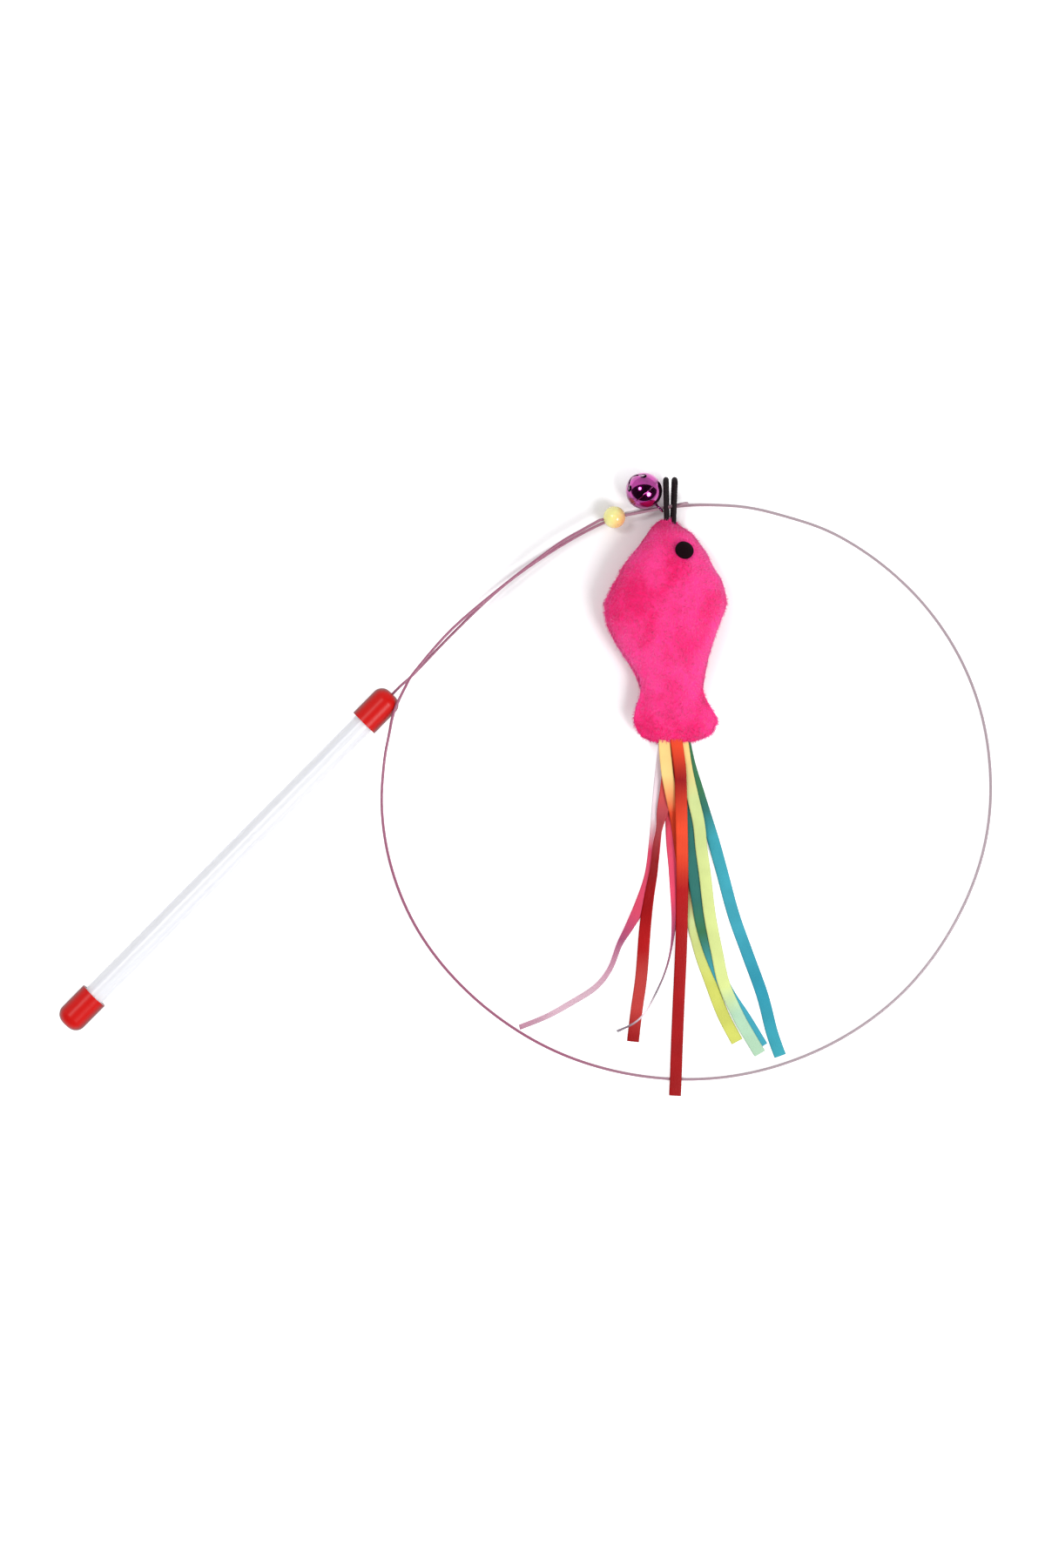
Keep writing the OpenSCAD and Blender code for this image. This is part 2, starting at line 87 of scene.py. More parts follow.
# Route of the spring wire, in millimetres, as in part.scad with points added on the
# ring, most of which lies on the floor
WIRE_ON_FLOOR = 0.65
RING_ROUTE = [
    (104.8, 100.5), (115.3, 102), (128.8, 103), (147.3, 102), (164.3, 98), (180.8, 92.4),
    (195.8, 84), (209.6, 73.4), (221.8, 61), (232.2, 46.7), (240.3, 31), (245.9, 14.1),
    (248.8, -3.5), (249.2, -21.4), (246.8, -39), (241.7, -55.7), (234.3, -71.5), (225, -86.1),
    (213.8, -99.3), (200.8, -110.6), (186.3, -120), (171.2, -127.2), (155.3, -132.5),
    (138.9, -135.7), (122.3, -136.7), (105.7, -135.6), (89.3, -132.5), (73.1, -127.3),
    (57.8, -120), (43.4, -110.6), (30.3, -99.5),
]
WIRE_ROUTE = [
    (3.3, 27.5, 6.2), (9.3, 33, 5.6), (25.8, 50.2, 4), (46.3, 69.5, 2.3), (68.3, 85, 1.2),
    (88.8, 96, 0.7),
    *((x, y, WIRE_ON_FLOOR) for x, y in RING_ROUTE),
    (18.5, -86.5, 0.68), (8.8, -72, 0.7), (1.6, -56, 0.78), (-3, -39, 1.6), (-4.8, -21.4, 3.6),
    (-3.6, -3.7, 6), (-1.4, 8, 8.2), (-0.2, 14, 9.7), (1.5, 19, 10.6), (5.3, 27, 10),
    (9.3, 33.5, 8.7), (24.8, 51.2, 7.3), (46.6, 69.6, 6.6), (67.8, 85.7, 6.4),
    (79.4, 92.6, 6.4),
]

# Routes of the ribbons from the middle of the tail's end, as in part.scad: across,
# along and up in millimetres, then the roll in degrees where it isn't 0. Rolls and heights
# differ from the solids by up to 45 degrees and 2 mm, for the photograph's edges and layers
RIBBON_ROUTES = {
    "pink_long": [
        (-4.5, -0.7, 5), (-6, -13.5, 2.9), (-7.2, -27, 1.1), (-8.3, -41, 0.3),
        (-10.2, -55.5, 0.2), (-14.5, -68, 0.8, 14), (-19, -77, 1.8, 42), (-23.1, -84.4, 2.3, 60),
        (-27.1, -94.6, 2.4, 63), (-33.2, -102.3, 2.4, 60), (-43.5, -108.9, 2.5, 60),
        (-53.7, -114.5, 2.9, 63), (-64.9, -118.9, 3.9, 64),
    ],
    "pink_curl": [
        (-2, -0.7, 5.4), (-1.8, -17.5, 3), (-1.5, -34.5, 1.5), (-1.1, -43, 1.4),
        (-0.2, -53.5, 1.4, 15), (0.1, -68, 2, 45), (-0.5, -77, 2.6, 67), (-1.5, -85.4, 2.75, 78),
        (-2.9, -92, 2.8, 79), (-5.2, -98.7, 2.8, 80), (-8.8, -106.3, 3.1, 79),
        (-12.3, -112.5, 3.4, 80), (-16.9, -117, 3.5, 80), (-24.1, -120.6, 2.9, 75),
    ],
    "teal_short": [
        (2, -0.7, 5.8), (3, -13.5, 4), (4.5, -24.5, 3.2), (6, -39, 2.7), (7.5, -53.5, 2.5),
        (9.5, -66.5, 1.5), (11.5, -77.5, 1.1), (15.5, -90, 0.8), (22, -104, 0.6),
        (29.5, -115.5, 0.2), (36.5, -127, 0.2),
    ],
    "teal_long": [
        (4, -0.7, 6.2), (6, -9.5, 5.2), (9, -19, 3.8), (12.5, -30, 2.2), (16, -41, 1),
        (19.5, -53.5, 0.3), (24.5, -72, 0.2), (30, -87.5, 0.2), (36.5, -105.5, 0.2),
        (40.5, -121, 0.2), (44, -131, 0.2),
    ],
    "red_short": [
        (-2.5, -0.7, 6.6), (-3.2, -14, 4.9), (-4.6, -25, 2.9), (-6.5, -35, 3.5, -58),
        (-7.9, -43.5, 3.1, -56), (-9, -54, 2.7, -50), (-11, -65.5, 2.3, -36),
        (-12.5, -77.5, 1.3, -16), (-14, -97.5, 0.4), (-16, -112, 0.2), (-17.5, -125, 0.2),
    ],
    "yellow_long": [
        (3, -0.7, 7), (4.8, -12, 5.7), (7.2, -22.5, 4.5), (9.8, -33.5, 3.6), (11, -44.5, 3.2),
        (12.5, -55.5, 3), (14.5, -72, 2), (17.5, -87.5, 1.5), (20.5, -101, 1.3),
        (26.5, -114.5, 1), (31, -122.5, 0.8), (35.5, -130, 0.6),
    ],
    "red_long": [
        (0.5, -0.7, 8.2), (2, -12, 7.3), (2.5, -28, 5.5), (3, -53.5, 3), (2.8, -75.5, 2.2),
        (2.4, -90, 1.2), (1.6, -108, 0.4), (0.8, -126.5, 1.1), (0.4, -138, 1.7), (0.2, -143, 1.7),
        (0, -147.5, 1.5),
    ],
    "yellow_short": [
        (-4.5, -0.7, 7.4), (-3.5, -12, 6.3), (-1.6, -22, 4.9), (0.7, -33.5, 2.3),
        (2.5, -46.5, 1.7), (4.5, -59, 1.2), (6.5, -71, 0.6), (10.5, -87.5, 0.3), (14.5, -99, 0.2),
        (20, -113.5, 0.2), (26, -125, 0.3),
    ],
}

# Sections of the fish, as in part.scad: place along it, half widths to the left and
# right, seam height, and the bulge above and below the seam, each as a share
FISH_SHARES = [
    (0.000, 0.07, 0.07, 0.240, 0.070, 0.070), (0.008, 0.13, 0.13, 0.245, 0.130, 0.120),
    (0.030, 0.22, 0.21, 0.265, 0.250, 0.190), (0.070, 0.34, 0.41, 0.330, 0.370, 0.240),
    (0.140, 0.53, 0.57, 0.400, 0.480, 0.300), (0.210, 0.71, 0.69, 0.435, 0.525, 0.370),
    (0.280, 0.85, 0.82, 0.455, 0.540, 0.420), (0.360, 1.00, 0.88, 0.460, 0.540, 0.450),
    (0.410, 1.03, 0.85, 0.460, 0.540, 0.450), (0.480, 1.00, 0.75, 0.450, 0.520, 0.440),
    (0.550, 0.90, 0.66, 0.420, 0.490, 0.410), (0.630, 0.73, 0.57, 0.380, 0.440, 0.370),
    (0.700, 0.60, 0.51, 0.340, 0.380, 0.330), (0.765, 0.53, 0.47, 0.310, 0.330, 0.300),
    (0.805, 0.51, 0.49, 0.300, 0.310, 0.290), (0.850, 0.57, 0.58, 0.295, 0.290, 0.280),
    (0.900, 0.62, 0.67, 0.290, 0.270, 0.260), (0.945, 0.59, 0.62, 0.285, 0.240, 0.230),
    (0.975, 0.52, 0.52, 0.280, 0.200, 0.190), (0.994, 0.37, 0.33, 0.280, 0.140, 0.130),
    (1.000, 0.20, 0.20, 0.280, 0.080, 0.080),
]


def linear(code):
    """Turns an sRGB hex colour into Blender's linear colour."""
    parts = [int(code[i:i + 2], 16) / 255 for i in (1, 3, 5)]
    return [c / 12.92 if c <= 0.04045 else ((c + 0.055) / 1.055) ** 2.4 for c in parts] + [1]


def add_node(tree, kind, values=None, links=None, **settings):
    """Adds one shader node with its settings, input values and linked inputs."""
    node = tree.nodes.new(kind)
    for name, value in settings.items():
        setattr(node, name, value)
    for name, value in (values or {}).items():
        node.inputs[name].default_value = value
    for name, source in (links or {}).items():
        tree.links.new(source, node.inputs[name])
    return node


def new_material(name):
    """Starts a material: its tree, its surface shader and the row frame's coordinates."""
    material = bpy.data.materials.new(name)
    material.use_nodes = True
    tree = material.node_tree
    tree.nodes.clear()
    surface = add_node(tree, "ShaderNodeBsdfPrincipled")
    add_node(tree, "ShaderNodeOutputMaterial", links={"Surface": surface.outputs[0]})
    place = add_node(tree, "ShaderNodeTexCoord").outputs["Object"]
    return material, tree, surface, place


def two_tone(tree, factor, low, high, start=0.35, end=0.65):
    """Colours a 0 to 1 factor from one hex colour to another."""
    ramp = add_node(tree, "ShaderNodeValToRGB", links={"Fac": factor})
    ramp.color_ramp.elements[0].position = start
    ramp.color_ramp.elements[0].color = linear(low)
    ramp.color_ramp.elements[1].position = end
    ramp.color_ramp.elements[1].color = linear(high)
    return ramp.outputs["Color"]


def spread(tree, value, low, high, top=1):
    """Stretches a value between low and high to one between 0 and top."""
    span = {"From Min": low, "From Max": high, "To Max": top}
    return add_node(tree, "ShaderNodeMapRange", span, {"Value": value}).outputs["Result"]


def grain(tree, place, size_mm, detail=2):
    """A noise pattern whose lumps are about size_mm across."""
    values = {"Scale": 1 / (size_mm * MM), "Detail": detail}
    return add_node(tree, "ShaderNodeTexNoise", values, {"Vector": place}).outputs["Fac"]


def paint(tree, surface, colour):
    """Gives the surface a colour that changes over it."""
    tree.links.new(colour, surface.inputs["Base Color"])


def relief(tree, surface, height, depth_mm):
    """Raises the surface's shading by a height pattern of about depth_mm."""
    values = {"Strength": 1, "Distance": depth_mm * MM}
    bump = add_node(tree, "ShaderNodeBump", values, {"Height": height})
    tree.links.new(bump.outputs["Normal"], surface.inputs["Normal"])


def settle(surface, **values):
    """Sets uniform values on the surface shader's own sockets."""
    names = {
        "colour": "Base Color", "metallic": "Metallic", "roughness": "Roughness", "ior": "IOR",
        "gloss": "Specular IOR Level", "alpha": "Alpha",
        "transmission": "Transmission Weight", "coat": "Coat Weight",
        "coat_roughness": "Coat Roughness", "sheen": "Sheen Weight",
        "sheen_roughness": "Sheen Roughness", "sheen_tint": "Sheen Tint",
        "soft": "Subsurface Weight", "soft_radius": "Subsurface Radius",
        "soft_scale": "Subsurface Scale", "coat_ior": "Coat IOR",
    }
    for name, value in values.items():
        surface.inputs[names[name]].default_value = value


def dipped_vinyl(colours):
    """Dip-moulded PVC vinyl: smooth, with a broad soft gloss, and a deeper red painted on
    its flanks as shade."""
    material, tree, surface, place = new_material("dip_moulded_pvc_vinyl_red")
    height = add_node(tree, "ShaderNodeSeparateXYZ", links={"Vector": place}).outputs["Z"]
    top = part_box("grip_cap")[1].z
    flank, crest = 4.3 * MM, 0.4 * MM  # how far below the top the red is deepest and clearest
    # Painted shade: the red is darkened down the flanks, below the top
    crown = spread(tree, height, top - flank, top - crest)
    colour = two_tone(tree, crown, colours.cap_painted_shade, colours.cap_red, 0.0, 0.75)
    paint(tree, surface, colour)
    relief(tree, surface, grain(tree, place, 3, 2), 0.03)
    settle(surface, roughness=0.34, ior=1.5, gloss=0.22)
    return material


def extruded_tube(colours):
    """Extruded translucent polypropylene: milky, with faint draw lines along the tube."""
    material, tree, surface, place = new_material("extruded_translucent_polypropylene")
    turn = {"Rotation": (0, 0, math.radians(-HANDLE_ANGLE))}
    turned = add_node(tree, "ShaderNodeMapping", turn, {"Vector": place}).outputs["Vector"]
    # A draw line is fifty times as long as it is wide
    drawn = add_node(tree, "ShaderNodeMapping", {"Scale": (0.02, 1, 1)}, {"Vector": turned})
    lines = grain(tree, drawn.outputs["Vector"], 1.4, 3)
    colour = two_tone(tree, lines, colours.tube_shade, colours.tube_white, 0.3, 0.55)
    paint(tree, surface, colour)
    relief(tree, surface, lines, 0.02)
    settle(surface, roughness=0.3, ior=1.49, transmission=0.05, soft=0.6,
           soft_radius=(1, 1, 1), soft_scale=3 * MM)
    return material


def coated_wire(colours):
    """PVC-coated spring steel: satin mauve, turning greyer towards the east."""
    material, tree, surface, place = new_material("pvc_coated_spring_steel_mauve")
    east = add_node(tree, "ShaderNodeSeparateXYZ", links={"Vector": place}).outputs["X"]
    # Metres east of the origin, from where the coat is pinkest to where it is greyest
    eastward_grey = spread(tree, east, 0.07, 0.15)
    colour = two_tone(tree, eastward_grey, colours.wire_pink, colours.wire_grey, 0.0, 1.0)
    paint(tree, surface, colour)
    relief(tree, surface, grain(tree, place, 0.5, 2), 0.02)
    settle(surface, roughness=0.38, ior=1.5, coat=0.15)
    return material


def cast_bead(colours):
    """Moulded translucent polystyrene: yellow-green, warmer on the side near the fish."""
    material, tree, surface, place = new_material("moulded_translucent_polystyrene_yellow")
    low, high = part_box("stop_bead")
    fishward = Vector((0.9, -0.44, 0))
    across = add_node(
        tree, "ShaderNodeVectorMath", {1: fishward}, {0: place}, operation="DOT_PRODUCT")
    centre, half = fishward.dot((low + high) / 2), (high.x - low.x) / 2
    side = spread(tree, across.outputs["Value"], centre - half, centre + half)
    colour = two_tone(tree, side, colours.bead_yellow, colours.bead_orange, 0.45, 1.0)
    paint(tree, surface, colour)
    relief(tree, surface, grain(tree, place, 2.5), 0.02)
    settle(surface, roughness=0.16, ior=1.59, transmission=0.15, soft=0.3,
           soft_radius=(1, 0.8, 0.3), soft_scale=2 * MM)
    return material


def lacquered_bell(colours):
    """Stamped brass under tinted lacquer: a magenta mirror, bare and dark on the inside."""
    material, tree, surface, place = new_material("stamped_brass_magenta_lacquer")
    top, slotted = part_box("bell_top_shell"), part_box("bell_slotted_shell")
    low, high = Vector(map(min, top[0], slotted[0])), Vector(map(max, top[1], slotted[1]))
    centre, radius = (low + high) / 2, (high.z - low.z) / 2
    reach = add_node(tree, "ShaderNodeVectorMath", {1: centre}, {0: place}, operation="DISTANCE")
    # The lacquer ends within the thickness of the sheet
    outside = spread(
        tree, reach.outputs["Value"], radius - 0.42 * MM, radius - 0.3 * MM)
    tone = two_tone(tree, grain(tree, place, 4), colours.bell_deep, colours.bell_magenta)
    lacquered = add_node(
        tree, "ShaderNodeMix", None, {"Factor": outside, "B": tone}, data_type="RGBA")
    paint(tree, surface, lacquered.outputs["Result"])
    relief(tree, surface, grain(tree, place, 1.2, 4), 0.012)
    settle(surface, metallic=1.0, roughness=0.13, coat=1.0, coat_ior=1.6, coat_roughness=0.05)
    return material


def turned_ball():
    """Tumbled steel shot: grey and slightly dull."""
    material, tree, surface, place = new_material("tumbled_steel_shot")
    tone = two_tone(tree, grain(tree, place, 0.8, 3), "#6E6E72", "#9A9AA0")
    paint(tree, surface, tone)
    settle(surface, metallic=1.0, roughness=0.35)
    return material


def braided_elastic(colours):
    """Braided polyester over latex: black yarn with a soft sheen on each crossing."""
    material, tree, surface, place = new_material("braided_polyester_elastic_black")
    yarn = grain(tree, place, 0.35, 3)
    tone = two_tone(tree, yarn, colours.elastic_black, colours.elastic_grey, 0.45, 0.9)
    paint(tree, surface, tone)
    relief(tree, surface, grain(tree, place, 0.25, 2), 0.05)
    settle(surface, roughness=0.7, ior=1.46, gloss=0.3, sheen=0.08, sheen_roughness=0.4)
    return material


def plush_fabric(colours, name, dark, light, sheen, soft, rough_mm):
    """Knitted polyester plush: matt pile, brushed lighter and darker in patches, and painted
    lighter on its east side.
    """
    material, tree, surface, place = new_material(name)
    stretched = add_node(tree, "ShaderNodeMapping", {"Scale": (1, 0.7, 1)}, {"Vector": place})
    patches = grain(tree, stretched.outputs["Vector"], 17, 3)
    # Painted light: the east side of the fish, where more light falls, is made lighter
    east = add_node(tree, "ShaderNodeSeparateXYZ", links={"Vector": place}).outputs["X"]
    painted_light = spread(tree, east, NOSE.x * MM, (NOSE.x + FISH_WIDTH / 2) * MM, 0.12)
    both = {0: patches, 1: painted_light}
    patches = add_node(tree, "ShaderNodeMath", None, both, operation="ADD").outputs[0]
    fine = grain(tree, place, 1.1, 3)
    mixed = add_node(
        tree, "ShaderNodeMath", {1: 0.25}, {0: fine, 2: patches}, operation="MULTIPLY_ADD")
    colour = two_tone(tree, mixed.outputs["Value"], dark, light, 0.5, 0.72)
    paint(tree, surface, colour)
    if rough_mm:
        relief(tree, surface, fine, rough_mm)
    settle(surface, roughness=0.95, ior=1.46, gloss=0.2, sheen=sheen, sheen_roughness=0.5,
           sheen_tint=linear(colours.plush_edge), soft=soft, soft_radius=(1, 0.5, 0.7),
           soft_scale=1.5 * MM)
    return material


def pressed_felt(colours):
    """Pressed felt: near black, with short loose fibres."""
    material, tree, surface, place = new_material("pressed_wool_felt_black")
    fibres = grain(tree, place, 0.4, 4)
    tone = two_tone(tree, fibres, colours.felt_black, colours.felt_brown, 0.4, 0.8)
    paint(tree, surface, tone)
    relief(tree, surface, fibres, 0.12)
    settle(surface, roughness=0.95, ior=1.46, gloss=0.15)
    return material


def satin_ribbon(name, length, shades, alpha):
    """Polyester satin: fine warp threads along the ribbon, glossy on their floats. It is
    thin, so its shade changes along it with what shows through and how it is turned."""
    material, tree, surface, place = new_material(name)
    weave = add_node(tree, "ShaderNodeUVMap", uv_map="weave").outputs["UV"]
    along = add_node(tree, "ShaderNodeSeparateXYZ", links={"Vector": weave}).outputs["Y"]
    ratio = add_node(tree, "ShaderNodeMath", {1: length}, {0: along}, operation="DIVIDE")
    ramp = add_node(tree, "ShaderNodeValToRGB", links={"Fac": ratio.outputs[0]})
    elements = ramp.color_ramp.elements
    while len(elements) < len(shades):
        elements.new(0.5)
    for element, (distance, code) in zip(elements, shades):
        element.position = min(distance / length, 1)
        element.color = linear(code)
    values = {"Scale": 2 * math.pi / (20 * THREAD_MM), "Distortion": 0.8, "Detail": 1.0}
    threads = add_node(tree, "ShaderNodeTexWave", values, {"Vector": weave}, bands_direction="X")
    sheen = two_tone(tree, grain(tree, place, 12), "#F0F0F0", "#FFFFFF", 0.35, 0.7)
    colour = add_node(
        tree, "ShaderNodeMix", {"Factor": 1.0}, {"A": ramp.outputs["Color"], "B": sheen},
        data_type="RGBA", blend_type="MULTIPLY")
    paint(tree, surface, colour.outputs["Result"])
    relief(tree, surface, threads.outputs["Fac"], 0.04)
    settle(surface, roughness=0.45, ior=1.5, gloss=0.12, alpha=alpha)
    return material


def smooth_curve(points, steps):
    """Rounds a list of points of any length into a Catmull-Rom curve, as part.scad does."""
    points = [np.array(p, float) for p in points]
    last = len(points) - 1
    curve = []
    for i in range(last):
        a, b, c, d = (points[max(i - 1, 0)], points[i], points[i + 1], points[min(i + 2, last)])
        for k in range(steps):
            t = k / steps
            curve.append(0.5 * (2 * b + (c - a) * t + (2 * a - 5 * b + 4 * c - d) * t * t
                                + (3 * b - a - 3 * c + d) * t ** 3))
    return np.array(curve + [points[last]])


def directions(path, upright=(0, 0, 1)):
    """At each point of a path: the way ahead, to the right and upwards."""
    ahead = np.gradient(path, axis=0)
    ahead /= np.linalg.norm(ahead, axis=1)[:, None]
    right = np.cross(ahead, upright)
    right /= np.linalg.norm(right, axis=1)[:, None]
    return ahead, right, np.cross(right, ahead)


def distances(path):
    """How far along a path each of its points lies."""
    return np.concatenate([[0], np.cumsum(np.linalg.norm(np.diff(path, axis=0), axis=1))])


def ring_faces(rings, sides):
    """Faces of a closed skin over rings of points, with a flat cap at each end."""
    faces = [
        (i * sides + k, i * sides + (k + 1) % sides,
         (i + 1) * sides + (k + 1) % sides, (i + 1) * sides + k)
        for i in range(rings - 1) for k in range(sides)]
    return faces + [tuple(range(sides))[::-1], tuple(range((rings - 1) * sides, rings * sides))]


def new_piece(name, points, faces, material, body):
    """Makes a mesh object from points in millimetres and puts it on its body, if any."""
    mesh = bpy.data.meshes.new(name)
    mesh.from_pydata((np.asarray(points) * MM).tolist(), [], faces)
    mesh.polygons.foreach_set("use_smooth", [True] * len(mesh.polygons))
    mesh.materials.append(material)
    mesh.validate()
    piece = bpy.data.objects.new(name, mesh)
    bpy.context.scene.collection.objects.link(piece)
    if body:
        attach(piece, body)
    return piece


def dress(node, material):
    """Gives a CAD node its finish."""
    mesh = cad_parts[node].data
    mesh.materials.clear()
    mesh.materials.append(material)


def hex_property(name, default, description):
    """A colour property, held as an sRGB hex code."""
    return bpy.props.StringProperty(name=name, description=description, default=default, maxlen=7)


def length_property(name, description, default, low, high):
    """A length in millimetres."""
    return bpy.props.FloatProperty(
        name=name, description=description + ", millimetres", default=default, min=low, max=high)


class WandColours(bpy.types.PropertyGroup):
    """Colours of the wand, as sRGB hex codes."""

    cap_red: hex_property("Cap red", "#C60A06", "Vinyl of both caps")
    # Painted shade: the deeper red of the caps' flanks
    cap_painted_shade: hex_property("Cap dark", "#6E080C", "Painted shade on the flanks")
    tube_white: hex_property("Tube white", "#F2F3FB", "Milky plastic of the tube")
    tube_shade: hex_property("Tube shade", "#E6E7F2", "Draw lines along the tube")
    wire_pink: hex_property("Wire pink", "#985672", "Coat of the wire near the handle")
    wire_grey: hex_property("Wire grey", "#A6949C", "Coat on the far side of the ring")
    bead_yellow: hex_property("Bead yellow", "#FDF4A0", "Bead on the side of the handle")
    bead_orange: hex_property("Bead orange", "#FABC7E", "Bead on the side of the bell")
    bell_magenta: hex_property("Bell magenta", "#B21492", "Lacquer of the bell")
    bell_deep: hex_property("Bell deep", "#8E0E76", "Thicker lacquer of the bell")
    elastic_black: hex_property("Elastic black", "#0A0407", "Yarn of the elastic")
    elastic_grey: hex_property("Elastic grey", "#361C28", "Worn crests of the elastic")
    plush_dark: hex_property("Plush dark", "#EC1E6E", "Pile brushed away from the light")
    plush_light: hex_property("Plush light", "#F83E92", "Pile brushed to the light")
    plush_mid: hex_property("Plush strand", "#F22A78", "Strands of the pile, brushed away")
    plush_tip: hex_property("Plush tip", "#FF54A6", "Strands of the pile, brushed to the light")
    plush_edge: hex_property("Plush edge", "#E884CC", "Sheen of the pile")
    satin_red: hex_property("Satin red", "#B01014", "Red ribbon")
    satin_dark_red: hex_property("Satin dark red", "#9C0E12", "Red ribbon, turned from the light")
    satin_orange: hex_property("Satin orange", "#E84826", "Red ribbon over a yellow one")
    satin_rose: hex_property("Satin rose", "#C04C54", "Red ribbon on its edge")
    satin_coral: hex_property("Satin coral", "#BE3C38", "Red ribbon, turned to the light")
    satin_pink: hex_property("Satin pink", "#E2486A", "Pink ribbon")
    satin_lilac: hex_property("Satin lilac", "#C88CA6", "Pink ribbon, turned from the light")
    satin_mauve: hex_property("Satin mauve", "#B0507C", "Pink ribbon, nearly on its edge")
    # Painted shade: grey of the pink ribbon standing on its edge, turned from the light
    satin_grey: hex_property("Satin grey", "#80707C", "Painted shade of the pink ribbon on its edge")
    satin_blush: hex_property("Satin blush", "#DAB4C4", "Pink ribbon, far from the fish")
    satin_pale: hex_property("Satin pale", "#F6E2EA", "Pink ribbon with the floor behind it")
    satin_teal: hex_property("Satin teal", "#3CA2B2", "Blue ribbon")
    satin_deep_teal: hex_property(
        "Satin deep teal", "#2E96AE", "Blue ribbon, turned from the light")
    satin_sky: hex_property("Satin sky", "#42A6BA", "Blue ribbon, turned to the light")
    satin_slate: hex_property("Satin slate", "#30766E", "Blue ribbon under others")
    satin_moss: hex_property("Satin moss", "#3A7852", "Blue ribbon under a yellow one")
    satin_lemon: hex_property("Satin lemon", "#D9E694", "Yellow ribbon")
    satin_lime: hex_property("Satin lime", "#D4D868", "Yellow ribbon, two layers deep")
    satin_straw: hex_property("Satin straw", "#D0DE96", "Yellow ribbon, turned from the light")
    satin_golden: hex_property("Satin golden", "#FFD88A", "Yellow ribbon at the tail seam")
    satin_mint: hex_property("Satin mint", "#B8DEBE", "Yellow ribbon over a blue one")
    felt_black: hex_property("Felt black", "#0E0106", "Felt of the eyes")
    felt_brown: hex_property("Felt brown", "#24020F", "Loose fibres of the eyes")


class WandSizes(bpy.types.PropertyGroup):
    """Sizes of the dressed pieces."""

    wire_diameter: length_property("Wire diameter", "Coated wire", 1.2, 0.8, 1.4)
    ribbon_width: length_property("Ribbon width", "Satin ribbon", 5, 4, 5.4)
    ribbon_thickness: length_property("Ribbon thickness", "Satin ribbon", 0.28, 0.2, 0.3)
    elastic_diameter: length_property("Elastic diameter", "Braided elastic", 2.0, 1.4, 2.1)
    pile_length: length_property("Pile length", "Plush pile", 1.7, 0.5, 3)
    pile_strands: bpy.props.IntProperty(
        name="Pile strands", description="Strands of pile that are drawn",
        default=26000, min=0, max=60000)


class WAND_OT_camera(bpy.types.Operator):
    """Set the camera straight above, as the photograph is taken"""

    bl_idname = "wand.camera"
    bl_label = "Camera"
    lens = 100.0
    sensor = 36.0

    def execute(self, context):
        data = bpy.data.cameras.new("camera")
        data.lens = self.lens
        data.sensor_width = self.sensor
        camera = bpy.data.objects.new("camera", data)
        frame_height = PHOTO_HEIGHT / PIXELS_PER_MM * MM
        centre_x = (PHOTO_WIDTH / 2 - ORIGIN_PIXEL[0]) / PIXELS_PER_MM * MM
        centre_y = (ORIGIN_PIXEL[1] - PHOTO_HEIGHT / 2) / PIXELS_PER_MM * MM
        camera.location = (centre_x, centre_y, frame_height * self.lens / self.sensor)
        context.scene.collection.objects.link(camera)
        context.scene.camera = camera
        return {"FINISHED"}


class WAND_OT_wire(bpy.types.Operator):
    """Lay the coated spring wire along its route"""

    bl_idname = "wand.wire"
    bl_label = "Spring wire"
    sides = 12
    steps = 5

    def execute(self, context):
        material = coated_wire(context.scene.wand_colours)
        diameter = context.scene.wand_sizes.wire_diameter
        angle = math.radians(HANDLE_ANGLE)
        out = Vector((math.cos(angle), math.sin(angle), 0))
        turn = math.radians(HOOK_ANGLE)
        along = Vector((math.cos(turn), math.sin(turn), 0))
        far_end = HOOK + WIRE_END_LEFT * along
        inside = [HANDLE_TIP - (CAP_END + PLUG_LENGTH) * out, HANDLE_TIP - CAP_END * out]
        curve = smooth_curve([HANDLE_TIP, *WIRE_ROUTE, far_end - diameter * along], self.steps)
        path = np.vstack([inside, curve, [far_end]])
        _, right, up = directions(path)
        angles = np.arange(self.sides) * 2 * math.pi / self.sides
        points = [
            path[i] + diameter / 2 * (math.cos(a) * right[i] + math.sin(a) * up[i])
            for i in range(len(path)) for a in angles]
        faces = ring_faces(len(path), self.sides)
        piece = new_piece("coated_wire", points, faces, material, "wand")
        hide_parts("spring_wire")
        dress("wire_end", material)
        return {"FINISHED"}


